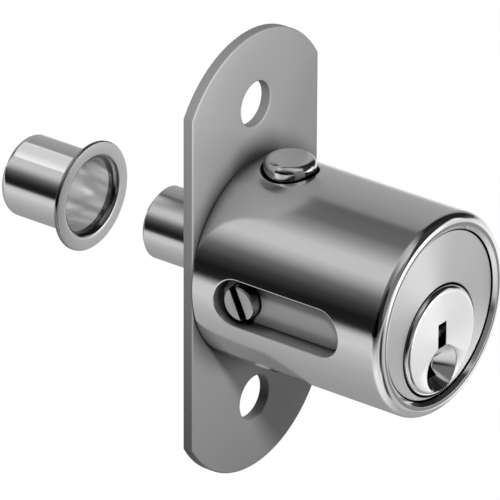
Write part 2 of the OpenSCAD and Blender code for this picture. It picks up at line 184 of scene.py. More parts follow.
# The key lamp lights the plate from the front left and throws the barrel's shadow on it, the back
# lamp lights the plate's other side, and a weak one stands over the cup.
soft_light("key_light", size=16, energy=0.39, place=(-76, -60, 84), aim=(0, 0, 0))
soft_light("back_light", size=24, energy=0.2, place=(50, 100, 80), aim=(0, 0, 0))
soft_light("cup_light", size=32, energy=0.0016, place=(-0.5, 51, 34.4), aim=(-2, 32, 5), mirrored=True)

# The table is white from above and clear from below.
table_gap = 0.2 * MM
table_reach = 5.0
table_z = cad_box[0].z - table_gap
corners = [(-table_reach, -table_reach), (table_reach, -table_reach), (table_reach, table_reach),
           (-table_reach, table_reach)]
table_mesh = bpy.data.meshes.new("table")
table_mesh.from_pydata([(x, y, table_z) for x, y in corners], [], [(0, 1, 2, 3)])
table = bpy.data.objects.new("table", table_mesh)
bpy.context.scene.collection.objects.link(table)
white = bpy.data.materials.new("white_table")
white.use_nodes = True
white.node_tree.nodes.clear()
glow = add_node(white.node_tree, "ShaderNodeEmission", {"Color": (1, 1, 1, 1), "Strength": 1.0})
below = add_node(white.node_tree, "ShaderNodeNewGeometry").outputs["Backfacing"]
clear = add_node(white.node_tree, "ShaderNodeBsdfTransparent")
sheet = add_node(white.node_tree, "ShaderNodeMixShader", {0: below, 1: glow.outputs[0], 2: clear.outputs[0]})
add_node(white.node_tree, "ShaderNodeOutputMaterial", {"Surface": sheet.outputs[0]})
table_mesh.materials.append(white)
table.visible_glossy = False
table.visible_diffuse = False
table.visible_shadow = False


# The mounting plate is stamped from steel strip and nickel plated with a satin finish. Its two
# curved ends each have a screw hole; the stamping rounds its front edges and dishes it slightly.
def outline_arc(centre, radius, start, end, steps):
    """Points of an arc, angles in degrees."""
    turns = [math.radians(start + (end - start) * i / steps) for i in range(steps + 1)]
    return [(centre[0] + radius * math.cos(t), centre[1] + radius * math.sin(t)) for t in turns]


def object_of(name, mesh):
    made = bpy.data.objects.new(name, mesh)
    bpy.context.scene.collection.objects.link(made)
    return made


def settle(piece):
    """Makes a plain mesh of a piece and its modifiers."""
    graph = bpy.context.evaluated_depsgraph_get()
    graph.update()
    mesh = bpy.data.meshes.new_from_object(
        piece.evaluated_get(graph), preserve_all_data_layers=True, depsgraph=graph)
    mesh.name = piece.name
    piece.modifiers.clear()
    piece.data = mesh


def face_out(mesh):
    """Joins points that lie on each other and turns all faces outwards."""
    shape = bmesh.new()
    shape.from_mesh(mesh)
    bmesh.ops.remove_doubles(shape, verts=shape.verts, dist=1e-8)
    bmesh.ops.recalc_face_normals(shape, faces=shape.faces)
    shape.to_mesh(mesh)
    shape.free()


sharp_angle = math.radians(32)


def polish(piece):
    """Smooth shading between faces that meet at less than the sharp angle; flat faces stay flat."""
    piece.data.shade_smooth()
    piece.data.set_sharp_from_angle(angle=sharp_angle)
    weighted = piece.modifiers.new("weighted", "WEIGHTED_NORMAL")
    weighted.keep_sharp = True
    settle(piece)


def paint(piece, finish):
    piece.data.materials.clear()
    piece.data.materials.append(finish)


def place_piece(piece, body, slot_name, finish, *nodes):
    paint(piece, finish)
    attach(piece, body)
    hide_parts(*nodes)


def new_finish(name):
    made = bpy.data.materials.new(name)
    made.use_nodes = True
    made.node_tree.nodes.clear()
    return made


def grain_of(tree, along, detail):
    """Fine noise over a stretched coordinate."""
    return add_node(tree, "ShaderNodeTexNoise", {"Vector": along, "Scale": 1.0, "Detail": detail,
                                                 "Roughness": 0.6}).outputs[0]


def between(tree, value, low, high):
    """Spreads the noise's middle part, 0.3 to 0.7, over a range."""
    return add_node(tree, "ShaderNodeMapRange", {0: value, 1: 0.3, 2: 0.7, 3: low, 4: high}).outputs[0]


def tinted(tree, value, tint, share):
    """The metal's colour, a little lighter and darker in patches."""
    dark = [c * (1 - share) for c in tint] + [1]
    light = [min(1, c * (1 + share)) for c in tint] + [1]
    return add_node(tree, "ShaderNodeMix", {0: value, 6: dark, 7: light}, data_type="RGBA").outputs[2]


def painted_crevice_shade(tree, colour, reach, low=0.45, high=0.92, darkest=0.12):
    """Paints shade into the metal's colour where little light gets in: beside a wall and down in a gap."""
    light = add_node(tree, "ShaderNodeAmbientOcclusion", {"Distance": reach * MM}, samples=12)
    share = add_node(tree, "ShaderNodeMapRange", {0: light.outputs["AO"], 1: low, 2: high}).outputs[0]
    shade = add_node(tree, "ShaderNodeMix", {0: share, 6: (darkest, darkest, darkest, 1),
                                             7: (1, 1, 1, 1)}, data_type="RGBA").outputs[2]
    return add_node(tree, "ShaderNodeMix", {0: 1.0, 6: colour, 7: shade}, data_type="RGBA",
                    blend_type="MULTIPLY").outputs[2]


def satin_finish(name, tint, roughness, stretch, bump, reach=2.0, haze=0.0, dish=0.0,
                 sheared=1.0):
    """Satin metal; haze is its share of scattered light, dish tilts its normals towards its middle,
    and sheared darkens the sides that the stamping cut."""
    patches = (90, 90, 90)
    grain_depth = 0.00002
    made = new_finish(name)
    tree = made.node_tree
    here = add_node(tree, "ShaderNodeTexCoord").outputs["Object"]
    along = add_node(tree, "ShaderNodeMapping", {"Vector": here, "Scale": stretch}).outputs[0]
    fine = grain_of(tree, along, 3.0)
    cloud = grain_of(tree, add_node(tree, "ShaderNodeMapping", {
        "Vector": here, "Scale": patches}).outputs[0], 2.0)
    normal = add_node(tree, "ShaderNodeNewGeometry").outputs["Normal"]
    lean = add_node(tree, "ShaderNodeVectorMath", {0: here, 1: (-dish, 0, 0), 2: normal},
                    operation="MULTIPLY_ADD").outputs[0]
    lean = add_node(tree, "ShaderNodeVectorMath", {0: lean}, operation="NORMALIZE").outputs[0]
    relief = add_node(tree, "ShaderNodeBump", {"Height": fine, "Strength": bump,
                                               "Distance": grain_depth, "Normal": lean})
    colour = tinted(tree, cloud, tint, 0.03)
    if sheared < 1.0:
        forward = add_node(tree, "ShaderNodeSeparateXYZ", {0: normal}).outputs[1]
        facing = maths(tree, "ABSOLUTE", forward)
        stamped = add_node(tree, "ShaderNodeMapRange", {0: facing, 1: 0.2, 2: 0.6}).outputs[0]
        torn = tinted(tree, cloud, [c * sheared for c in tint], 0.03)
        colour = add_node(tree, "ShaderNodeMix", {0: stamped, 6: torn, 7: colour},
                          data_type="RGBA").outputs[2]
    # The base colour carries painted shade near walls and in gaps.
    metal = add_node(tree, "ShaderNodeBsdfPrincipled", {
        "Base Color": painted_crevice_shade(tree, colour, reach), "Metallic": 1.0 - haze,
        "Roughness": between(tree, fine, roughness * 0.9, roughness * 1.1),
        "Specular IOR Level": 0.1, "Normal": relief.outputs[0]})
    add_node(tree, "ShaderNodeOutputMaterial", {"Surface": metal.outputs[0]})
    return made


plate_half_w = 13.8
plate_half_h = 32.4
plate_t = 1.6
end_r = 16.1
hole_z = 22.05
hole_r = 3.2
seat_r = 8.5
edge_round = 0.25
seat_edge = 0.05
back_edge = 0.06
arc_centre = plate_half_h - end_r
arc_steps = 96
edge_steps = 6


def end_to_end(grow):
    corner = math.degrees(math.acos((plate_half_w + grow) / (end_r + grow)))
    half = outline_arc((0, arc_centre), end_r + grow, corner, 180 - corner, arc_steps)
    return half + [(-x, -z) for x, z in half]


def round_hole(z, radius):
    return lambda grow: outline_arc((0, z), radius - grow, 0, 360, arc_steps)[:-1]


def stamped_layers(front_round):
    layers = []
    for i in range(edge_steps + 1):
        t = math.pi / 2 * i / edge_steps
        layers.append((-front_round * (1 - math.sin(t)), -plate_t + front_round * (1 - math.cos(t))))
    return layers + [(0, -back_edge), (-back_edge, 0)]


flat = bmesh.new()
front_edges = []
back_edges = []
for ring_of, front_round in ((end_to_end, edge_round), (round_hole(hole_z, hole_r), edge_round),
                             (round_hole(-hole_z, hole_r), edge_round),
                             (round_hole(0, seat_r), seat_edge)):
    rings = [[flat.verts.new((x * MM, y * MM, z * MM)) for x, z in ring_of(grow)]
             for grow, y in stamped_layers(front_round)]
    for low, high in zip(rings, rings[1:]):
        for i in range(len(low)):
            flat.faces.new((low[i - 1], low[i], high[i], high[i - 1])).smooth = True
    front_edges += [flat.edges.get((rings[0][i - 1], rings[0][i])) for i in range(len(rings[0]))]
    back_edges += [flat.edges.get((rings[-1][i - 1], rings[-1][i])) for i in range(len(rings[-1]))]
for edges in (front_edges, back_edges):
    bmesh.ops.triangle_fill(flat, use_beauty=True, edges=edges)
bmesh.ops.recalc_face_normals(flat, faces=flat.faces)
plate_mesh = bpy.data.meshes.new("plate")
flat.to_mesh(plate_mesh)
flat.free()
plate_mesh.set_sharp_from_angle(angle=sharp_angle)
plate = object_of("plate", plate_mesh)
# Shade is painted into the plate's colour near the barrel.
plate_nickel = satin_finish("satin_nickel", (0.19, 0.19, 0.19), roughness=0.3,
                            stretch=(2500, 2500, 120), bump=0.1, reach=4.5, haze=0.9, dish=4.5,
                            sheared=0.5)
place_piece(plate, "barrel_unit", "plate", plate_nickel, "mounting_plate")


# The barrel is turned from bar, polished and nickel plated: a round front edge, a bore for the
# plunger and a spigot staked into the plate. The guide slot and the stud's hole are milled
# through its wall, and their edges are broken.
def turned_piece(name, outline, steps=256, about="Y", centre=(0, 0, 0), loop=False):
    """Turns an outline of (radius, height) about an axis. A radius of nought closes it, and a
    loop joins its last point to its first."""
    points = []
    rings = []
    for radius, height in outline:
        first = len(points)
        count = 1 if radius < 1e-9 else steps
        for i in range(count):
            turn = 2 * math.pi * i / steps
            a = radius * math.cos(turn)
            b = radius * math.sin(turn)
            spot = {"X": (-height, a, b), "Y": (a, height, b), "Z": (a, b, height)}[about]
            points.append([(spot[k] + centre[k]) * MM for k in range(3)])
        rings.append([first + i % count for i in range(steps)])
    faces = []
    pairs = list(zip(rings, rings[1:]))
    if loop:
        pairs.append((rings[-1], rings[0]))
    for low, high in pairs:
        for i in range(steps):
            j = (i + 1) % steps
            face = list(dict.fromkeys([low[i], low[j], high[j], high[i]]))
            if len(face) > 2:
                faces.append(face)
    mesh = bpy.data.meshes.new(name)
    mesh.from_pydata(points, [], faces)
    face_out(mesh)
    return object_of(name, mesh)


def bar(name, about, start, end, radius, centre=(0, 0, 0), steps=64):
    return turned_piece(name, [(0, start), (radius, start), (radius, end), (0, end)], steps, about, centre)


def cut_away(piece, *cutters):
    for cutter in cutters:
        work = piece.modifiers.new("cut", "BOOLEAN")
        work.operation = "DIFFERENCE"
        work.solver = "EXACT"
        work.object = cutter
    settle(piece)
    for cutter in cutters:
        bpy.data.objects.remove(cutter)


def milled_hole(name, outline, place, flare, inner, outer, steps=5):
    """A cutter that leaves a broken edge: outline(grow) gives its points and place(u, v, depth, end)
    puts them below the skin or, without a depth, on a flat end; inner and outer are the ends."""
    layers = [(0.0, None, inner)]
    for i in range(steps + 1):
        t = math.pi / 2 * i / steps
        layers.append((flare * (1 - math.cos(t)), flare * (1 - math.sin(t)), None))
    layers.append((flare, None, outer))
    points = []
    rings = []
    for grow, depth, end in layers:
        ring = []
        for u, v in outline(grow):
            ring.append(len(points))
            points.append([c * MM for c in place(u, v, depth, end)])
        rings.append(ring)
    faces = [rings[0], rings[-1]]
    for low, high in zip(rings, rings[1:]):
        faces += [[low[i - 1], low[i], high[i], high[i - 1]] for i in range(len(low))]
    mesh = bpy.data.meshes.new(name)
    mesh.from_pydata(points, [], faces)
    face_out(mesh)
    return object_of(name, mesh)


def zone(along, low, high, roughness, tint, haze=0.0):
    """A part of a turned piece, between two heights or two radii, with a finish of its own."""
    return along, low, high, roughness, tint, haze


def turned_finish(name, tint, roughness, bump, about="Y", centre=(0, 0, 0), grooved=0.6, reach=1.2,
                  zones=(), shade=(0.45, 0.92), haze=0.0):
    """Metal turned on a lathe: fine rings about its axis, which stretch the reflections across."""
    rings_across = 9000.0
    streaks_round = 2.5
    patches = (120, 120, 120)
    groove_depth = 0.00001
    zone_fade = 0.00003
    made = new_finish(name)
    tree = made.node_tree
    here = add_node(tree, "ShaderNodeTexCoord").outputs["Object"]
    shift = [-c * MM for c in centre]
    here = add_node(tree, "ShaderNodeVectorMath", {0: here, 1: shift}, operation="ADD").outputs[0]
    parts = add_node(tree, "ShaderNodeSeparateXYZ", {0: here}).outputs
    height, a, b = {"X": (0, 1, 2), "Y": (1, 0, 2), "Z": (2, 0, 1)}[about]
    axis = [0.0, 0.0, 0.0]
    axis[height] = 1.0
    square = maths(tree, "MULTIPLY", parts[a], parts[a])
    radius = maths(tree, "SQRT", maths(tree, "MULTIPLY_ADD", parts[b], parts[b], square))
    turn = maths(tree, "ARCTAN2", parts[b], parts[a])
    rings = add_node(tree, "ShaderNodeCombineXYZ", {
        0: maths(tree, "MULTIPLY", radius, rings_across),
        1: maths(tree, "MULTIPLY", parts[height], rings_across),
        2: maths(tree, "MULTIPLY", turn, streaks_round)}).outputs[0]
    fine = grain_of(tree, rings, 2.0)
    cloud = grain_of(tree, add_node(tree, "ShaderNodeMapping", {
        "Vector": here, "Scale": patches}).outputs[0], 2.0)
    relief = add_node(tree, "ShaderNodeBump", {"Height": fine, "Strength": bump,
                                               "Distance": groove_depth})
    around = add_node(tree, "ShaderNodeVectorMath", {0: axis, 1: here}, operation="CROSS_PRODUCT")
    around = add_node(tree, "ShaderNodeVectorTransform", {0: around.outputs[0]},
                      vector_type="VECTOR", convert_from="OBJECT", convert_to="WORLD").outputs[0]
    normal = add_node(tree, "ShaderNodeNewGeometry").outputs["Normal"]
    across = add_node(tree, "ShaderNodeVectorMath", {0: normal, 1: around},
                      operation="CROSS_PRODUCT").outputs[0]
    across = add_node(tree, "ShaderNodeVectorMath", {0: across}, operation="NORMALIZE").outputs[0]
    colour = tinted(tree, cloud, tint, 0.02)
    spread = between(tree, fine, roughness * 0.92, roughness * 1.08)
    mirror = 1.0 - haze
    for along, low, high, zone_roughness, zone_tint, zone_haze in zones:
        value = radius if along == "radius" else parts[height]
        off = maths(tree, "ABSOLUTE", maths(tree, "SUBTRACT", value, (low + high) / 2 * MM))
        half = (high - low) / 2 * MM
        within = add_node(tree, "ShaderNodeMapRange", {0: off, 1: half, 2: half + zone_fade, 3: 1.0,
                                                       4: 0.0}).outputs[0]
        colour = add_node(tree, "ShaderNodeMix", {0: within, 6: colour,
                                                  7: tinted(tree, cloud, [zone_tint] * 3, 0.02)},
                          data_type="RGBA").outputs[2]
        zone_spread = between(tree, fine, zone_roughness * 0.92, zone_roughness * 1.08)
        spread = add_node(tree, "ShaderNodeMix", {0: within, 2: spread, 3: zone_spread}).outputs[0]
        mirror = add_node(tree, "ShaderNodeMix", {0: within, 2: mirror, 3: 1.0 - zone_haze}).outputs[0]
    # The base colour carries painted shade near walls and in gaps.
    metal = add_node(tree, "ShaderNodeBsdfPrincipled", {
        "Base Color": painted_crevice_shade(tree, colour, reach, *shade), "Metallic": mirror,
        "Anisotropic": grooved, "Roughness": spread, "Tangent": across,
        "Normal": relief.outputs[0]})
    add_node(tree, "ShaderNodeOutputMaterial", {"Surface": metal.outputs[0]})
    return made


barrel_r = 14.3
bore_r = 12.0
barrel_front = -32.7
plate_face = -plate_t
bore_back = -3.0
rim_round = 1.38
rim_bevel = 0.45
lip_round = 0.06
bolt_hole_r = 5.19
bolt_hole_bevel = 0.1
seat_groove = 0.3
stake_bevel = 0.15
outline = [(bore_r, barrel_front + rim_bevel)]
outline += outline_arc((bore_r + rim_bevel + lip_round, barrel_front + lip_round), lip_round, 225, 270, 3)
outline += outline_arc((barrel_r - rim_round, barrel_front + rim_round), rim_round, -90, 0, 20)
outline += [(barrel_r, plate_face - seat_groove), (barrel_r - seat_groove, plate_face - seat_groove / 2)]
outline += [(barrel_r - seat_groove, plate_face)]
outline += [(seat_r, plate_face), (seat_r, -stake_bevel), (seat_r - stake_bevel, 0)]
outline += [(bolt_hole_r + bolt_hole_bevel, 0), (bolt_hole_r, -bolt_hole_bevel)]
outline += [(bolt_hole_r, bore_back), (bore_r, bore_back)]
barrel = turned_piece("barrel", outline, steps=360, loop=True)
slot_half = 3.4
slot_rear = -5.4
slot_front = -25.9
edge_break = 0.2


def slot_outline(grow):
    half = slot_half + grow
    return (outline_arc((0, slot_rear - slot_half), half, 0, 180, 32)
            + outline_arc((0, slot_front + slot_half), half, 180, 360, 32))


def left_side(z, y, depth, end):
    x = end if depth is None else math.sqrt((barrel_r - depth) ** 2 - z ** 2)
    return (-x, y, z)


stud_y = -7.3
stud_r = 3.6
stud_hole_r = 3.64
stud_relief_r = 3.95
stud_relief_depth = 1.4
stud_relief_break = 0.12


def stud_outline(grow):
    return outline_arc((0, stud_y), stud_relief_r + grow, 0, 360, 96)[:-1]


def top_side(x, y, depth, end):
    z = end if depth is None else math.sqrt((barrel_r - depth) ** 2 - x ** 2)
    return (x, y, z)


cut_from = bore_r - 3
cut_to = barrel_r + 2
slot_cutter = milled_hole("slot_cutter", slot_outline, left_side, edge_break, cut_from, cut_to)
stud_relief = milled_hole("stud_relief", stud_outline, top_side, stud_relief_break,
                          barrel_r - stud_relief_depth, cut_to)
stud_bore = bar("stud_bore", "Z", cut_from, cut_to, stud_hole_r, (0, stud_y, 0), steps=96)
cut_away(barrel, slot_cutter, stud_relief, stud_bore)
polish(barrel)
# What lies under the skin is dull and painted dark as shade in the slot and holes, and the front edge is
# brighter than the side. Shade is also painted in near the plate and at the slot's rear end.
shaded_cut_walls = zone("radius", 0, barrel_r - 0.22, roughness=0.6, tint=0.36, haze=0.1)
front_edge = zone("height", barrel_front - 0.1, barrel_front + 1.35, roughness=0.06, tint=0.8)
barrel_nickel = turned_finish("turned_nickel", (0.78, 0.78, 0.78), roughness=0.13, bump=0.05,
                              grooved=0.5, reach=3.2, zones=[shaded_cut_walls, front_edge],
                              shade=(0.36, 0.7))
place_piece(barrel, "barrel_unit", "barrel", barrel_nickel, "housing")


# The plunger is the push button that fills the barrel. It is turned and faced, with a bore for
# the key plug, a row of pin chambers along its top and a flat seat for the guide screw's head.
plunger_r = 11.96
plunger_face = -32.1
plunger_rear = -3.2
skirt_r = 10.76
carrier_front = -15.1
face_round = 0.2
edge_relief = 0.12
relief_l = 1.2
plug_z = -3.65
plug_bore_r = 6.39
plug_bore_end = -17.0
clip_room_r = 7.04
head_bore_r = 7.79
head_seat_y = -30.9
head_gap = 0.12
pin_ys = [-29.5, -27.0, -24.5, -22.0, -19.5]
chamber_r = 1.04
chamber_top_r = 1.15
chamber_top_z = 10.805
notch_half = 3.95
notch_low = 6.0
notch_high = 12.5
guide_y = -9.1
guide_seat_x = 11.3
guide_seat_r = 2.6
guide_bore_x = 2.4
thread_r = 1.5
carrier_pin_x = 7.8
carrier_pin_r = 1.0
# Cutters reach past the metal by the spare length, and past the plunger's sides to the last one.
spare = 1
past_side = 13


def block(name, low, high):
    made = bmesh.new()
    bmesh.ops.create_cube(made, size=1.0)
    for vert in made.verts:
        vert.co = [(low[k] + (high[k] - low[k]) * (vert.co[k] + 0.5)) * MM for k in range(3)]
    mesh = bpy.data.meshes.new(name)
    made.to_mesh(mesh)
    made.free()
    return object_of(name, mesh)


outline = [(0, plunger_face)]
outline += outline_arc((plunger_r - edge_relief - face_round, plunger_face + face_round),
                       face_round, -90, 0, 6)
outline += [(plunger_r - edge_relief, plunger_face + relief_l)]
outline += [(plunger_r, plunger_face + relief_l + edge_relief)]
outline += [(plunger_r, plunger_rear), (skirt_r, plunger_rear), (skirt_r, carrier_front)]
outline += [(0, carrier_front)]
plunger = turned_piece("plunger_button", outline, steps=256)
plug_axis = (0, 0, plug_z)
guide_spot = (0, guide_y, 0)
recess = [(0, plunger_face - spare), (head_bore_r + 2 * head_gap, plunger_face - spare)]
recess += [(head_bore_r + 2 * head_gap, plunger_face), (head_bore_r + head_gap, plunger_face + head_gap)]
recess += [(head_bore_r + head_gap, head_seat_y), (plug_bore_r, head_seat_y)]
recess += [(plug_bore_r, plug_bore_end), (clip_room_r, plug_bore_end)]
recess += [(clip_room_r, carrier_front + spare), (0, carrier_front + spare)]
cutters = [turned_piece("plug_recess", recess, steps=192, centre=plug_axis)]
cutters += [bar("chamber", "Z", plug_z, plunger_r + spare, chamber_r, (0, y, 0)) for y in pin_ys]
cutters += [bar("chamber_top", "Z", chamber_top_z, plunger_r + spare, chamber_top_r, (0, y, 0))
            for y in pin_ys]
cutters += [block("stud_notch", (-notch_half, carrier_front, notch_low),
                  (notch_half, plunger_rear + spare, notch_high))]
cutters += [bar("guide_seat", "X", guide_seat_x, past_side, guide_seat_r, guide_spot)]
cutters += [bar("guide_bore", "X", guide_bore_x, past_side, thread_r, guide_spot)]
cutters += [bar("pin_bore", "X", -past_side, -carrier_pin_x, carrier_pin_r, guide_spot)]
cut_away(plunger, *cutters)
polish(plunger)
# The plunger's sides, seen down the barrel's slot, are painted dark as shade; its faced end keeps the
# lighter nickel.
faced_end = zone("height", plunger_face - 0.1, plunger_face + 0.03, roughness=0.4, tint=0.68)
plunger_nickel = turned_finish("faced_nickel", (0.3, 0.3, 0.3), roughness=0.4, bump=0.1,
                               grooved=0.8, reach=0.5, haze=0.2, zones=[faced_end])
place_piece(plunger, "plunger_unit", "plunger", plunger_nickel, "plunger")


# The key plug turns in the plunger. It is turned from bar with a raised head, whose polished
# shoulder is round and whose face is satin; a funnel leads the key into the warded keyway.
plug_r = 6.35
head_r = 7.75
head_face = -32.7
shoulder = 0.85
plug_tail = -15.6
clip_groove_r = 5.6
clip_groove_front = -17.02
clip_groove_back = -16.36
outline = [(0, head_face)]
outline += outline_arc((head_r - shoulder, head_face + shoulder), shoulder, -90, 0, 16)
outline += [(head_r, head_seat_y), (plug_r, head_seat_y)]
outline += [(plug_r, clip_groove_front), (clip_groove_r, clip_groove_front)]
outline += [(clip_groove_r, clip_groove_back), (plug_r, clip_groove_back)]
outline += [(plug_r, plug_tail), (0, plug_tail)]
plug = turned_piece("key_plug_turned", outline, steps=256, centre=plug_axis)
keyway_half = 0.9
keyway_low = -5.9
keyway_high = 2.7
keyway_end = -18.2
key_edge = 0.08
ward_edge = 0.1
right_ward = (-3, -1.3)
left_ward = (-4.9, -3.6)


def ward(side, low, high, grow):
    """The keyway's outline round a ward, the rib that juts in from one side."""
    half = side * (keyway_half + grow)
    edge = side * (ward_edge + grow)
    return [(half, low + grow), (edge, low + grow), (edge, high - grow), (half, high - grow)]


def keyway_outline(grow):
    half = keyway_half + grow
    right = ward(1, *right_ward, grow)
    left = ward(-1, *left_ward, grow)
    return ([(-half, keyway_low - grow), (half, keyway_low - grow)] + right
            + [(half, keyway_high + grow), (-half, keyway_high + grow)] + left[::-1])


def plug_front(x, z, depth, end):
    return (x, end if depth is None else head_face + depth, z + plug_z)


funnel_drop = 4.05
funnel_r = 3.25
funnel_edge_r = 3.38
funnel_tip_r = 1.3
funnel_deep = 2.4
chamber_drop = 2.8
cam_bore_r = 1.0
cam_bore_deep = 2.5
cam_axis = (2.121, 0, -1.529)
funnel = [(0, head_face - spare), (funnel_edge_r, head_face - spare), (funnel_edge_r, head_face)]
funnel += [(funnel_r, head_face + key_edge)]
funnel += [(funnel_tip_r, head_face + funnel_deep), (0, head_face + funnel_deep)]
cutters = [milled_hole("keyway_cutter", keyway_outline, plug_front, key_edge, keyway_end,
                       head_face - spare, steps=3)]
cutters += [turned_piece("funnel_cutter", funnel, steps=128, centre=(0, 0, plug_z - funnel_drop))]
cutters += [bar("chamber", "Z", plug_z - chamber_drop, plug_z + plug_r + spare, chamber_r, (0, y, 0))
            for y in pin_ys]
cutters += [bar("cam_bore", "Y", plug_tail - cam_bore_deep, plug_tail + spare, cam_bore_r, cam_axis)]
cut_away(plug, *cutters)
polish(plug)
satin_end = zone("height", head_face - 0.1, head_face + 0.015, roughness=0.34, tint=0.97)
plug_nickel = turned_finish("satin_plug_nickel", (0.72, 0.72, 0.72), roughness=0.08, bump=0.05,
                            centre=plug_axis, grooved=0.4, zones=[satin_end])
place_piece(plug, "plug_unit", "plug", plug_nickel, "key_plug")


# The guide screw is driven into the plunger's side, and its slotted head runs in the barrel's
# slot. It is a plain steel screw, turned and tumbled.
screw_tip = 2.575
screw_head_r = 2.45
screw_top = 13.7
screw_round = 0.25
driver_floor = 12.8
driver_half = 0.6
driver_turn = -25
driver_bevel = 0.05
driver_past = 0.9
outline = [(0, screw_tip), (thread_r, screw_tip), (thread_r, guide_seat_x)]
outline += [(screw_head_r, guide_seat_x), (screw_head_r, screw_top - screw_round)]
outline += outline_arc((screw_head_r - screw_round, screw_top - screw_round), screw_round, 0, 90, 5)
outline += [(0, screw_top)]
screw = turned_piece("slotted_screw", outline, steps=128, about="X", centre=guide_spot)
driver = block("driver_slot", (-screw_top - driver_past, -driver_half, -2 * screw_head_r),
               (-driver_floor, driver_half, 2 * screw_head_r))
driver.data.transform(Matrix.Rotation(math.radians(driver_turn), 4, "X"))
driver.data.transform(Matrix.Translation((0, guide_y * MM, 0)))
cut_away(screw, driver)
bevel = screw.modifiers.new("slot_edge", "BEVEL")
bevel.width = driver_bevel * MM
bevel.segments = 2
bevel.limit_method = "ANGLE"
bevel.angle_limit = math.radians(50)
settle(screw)
polish(screw)
# Shade is painted into the screw's colour on the head's side and down its driver slot.
screw_steel = turned_finish("tumbled_steel", (0.5, 0.5, 0.5), roughness=0.3, bump=0.1, about="X",
                            centre=guide_spot, grooved=0.4, reach=2.2, shade=(0.5, 0.8))
place_piece(screw, "plunger_unit", "screw", screw_steel, "guide_screw")


# The locking stud stands out of the barrel's top and holds the lock shut. It is turned from bar
# with a round edge and a low dome, polished and plated, and its groove takes the yoke's tongue.
stud_foot = 10.64
stud_top = 16.0
stud_round = 1.0
stud_round_z = 14.876
dome_start = 84.7
dome_r = 2.69
dome_rise = 0.12
groove_low = 11.09
groove_high = 11.79
groove_half = 4.6
groove_front = -16.65
groove_back = -9.45
outline = [(0, stud_foot), (stud_r, stud_foot)]
outline += outline_arc((stud_r - stud_round, stud_round_z), stud_round, 0, dome_start, 16)
outline += [(r, stud_top - dome_rise * (r / dome_r) ** 2) for r in (2.3, 1.9, 1.5, 1.1, 0.7, 0.3, 0)]
stud_axis = (0, stud_y, 0)
stud = turned_piece("round_stud", outline, steps=160, about="Z", centre=stud_axis)
groove = block("stud_groove", (-groove_half, groove_front, groove_low),
               (groove_half, groove_back, groove_high))
cut_away(stud, groove)
polish(stud)
dome = zone("height", stud_top - 0.13, stud_top + 0.1, roughness=0.2, tint=0.9)
stud_nickel = turned_finish("polished_stud_nickel", (0.8, 0.8, 0.8), roughness=0.09, bump=0.01,
                            about="Z", centre=stud_axis, grooved=0.2, zones=[dome])
place_piece(stud, "stud_unit", "stud", stud_nickel, "locking_stud")


# The bolt is a polished round steel bar with a chamfered end. The guide screw's tip sits in a
# blind hole in the side of its tail and holds it in the plunger.
bolt_r = 5.15
bolt_tail = -12.5
bolt_end = 14.1
chamfer = 0.68
chamfer_round = 0.2
cross_bore_end = 2.375
past_bolt = 8
outline = [(0, bolt_tail), (bolt_r, bolt_tail), (bolt_r, bolt_end - chamfer)]
outline += outline_arc((bolt_r - chamfer_round, bolt_end - chamfer), chamfer_round, 0, 45, 3)
outline += outline_arc((bolt_r - chamfer, bolt_end - chamfer_round), chamfer_round, 45, 90, 3)
outline += [(0, bolt_end)]
bolt = turned_piece("round_bolt", outline, steps=192)
cut_away(bolt, bar("cross_bore", "X", cross_bore_end, past_bolt, thread_r, guide_spot))
polish(bolt)
bolt_nickel = turned_finish("polished_bolt_nickel", (0.76, 0.76, 0.76), roughness=0.16, bump=0.05,
                            grooved=0.5)
place_piece(bolt, "plunger_unit", "bolt", bolt_nickel, "bolt")


# The strike cup is drawn from thin sheet and chrome plated: a closed cup with a flared mouth
# and a flat flange, which is let into the other door to take the bolt's end.
cup_mouth = 26.3
cup_deep = 38.2
cup_in_r = 5.3
cup_out_r = 5.8
flange_r = 7.8
flange_t = 0.6
flare = 0.9
flange_round = 0.2
corner_r = 1.3
wall = 0.5
outline = [(0, cup_deep - wall)]
outline += outline_arc((cup_out_r - corner_r, cup_deep - corner_r), corner_r - wall, 90, 0, 10)
outline += outline_arc((cup_in_r + flare, cup_mouth + flare), flare, 180, 270, 12)
outline += outline_arc((flange_r - flange_round, cup_mouth + flange_round), flange_round, -90, 0, 5)
outline += outline_arc((flange_r - flange_round, cup_mouth + flange_t - flange_round),
                       flange_round, 0, 90, 5)
outline += outline_arc((cup_out_r + flare, cup_mouth + flange_t + flare), flare, 270, 180, 12)
outline += outline_arc((cup_out_r - corner_r, cup_deep - corner_r), corner_r, 0, 90, 14)
outline += [(0, cup_deep)]
cup = turned_piece("drawn_cup", outline, steps=192)
polish(cup)
# The inside is painted brighter, as if lit, but for a painted dark ring of shade at the mouth, and the
# flange's face is duller. Shade is also painted in beside the flange and deep inside.
inside = zone("radius", 0, cup_in_r + 0.25, roughness=0.17, tint=0.97, haze=0.08)
painted_mouth_shade = zone("height", cup_mouth + 0.05, cup_mouth + 1.4, roughness=0.1, tint=0.25)
flange_face = zone("height", cup_mouth - 0.1, cup_mouth + 0.02, roughness=0.35, tint=0.5)
cup_chrome = turned_finish("drawn_chrome", (0.8, 0.8, 0.8), roughness=0.13, bump=0.01, grooved=0.1,
                           reach=3.0, zones=[inside, painted_mouth_shade, flange_face], shade=(0.05, 0.72))
place_piece(cup, "cup_unit", "cup", cup_chrome, "strike_cup")


# Inside are machined steel pieces: the bolt carrier in the plunger's skirt, the pin that holds it
# there, the snap ring that keeps the plug in the plunger and the cam pin in the plug's tail.
machined = satin_finish("machined_steel", (0.5, 0.5, 0.51), roughness=0.35,
                        stretch=(1500, 1500, 1500), bump=0.2)
for name in ("bolt_carrier", "carrier_pin", "plug_clip", "cam_pin"):
    paint(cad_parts[name], machined)


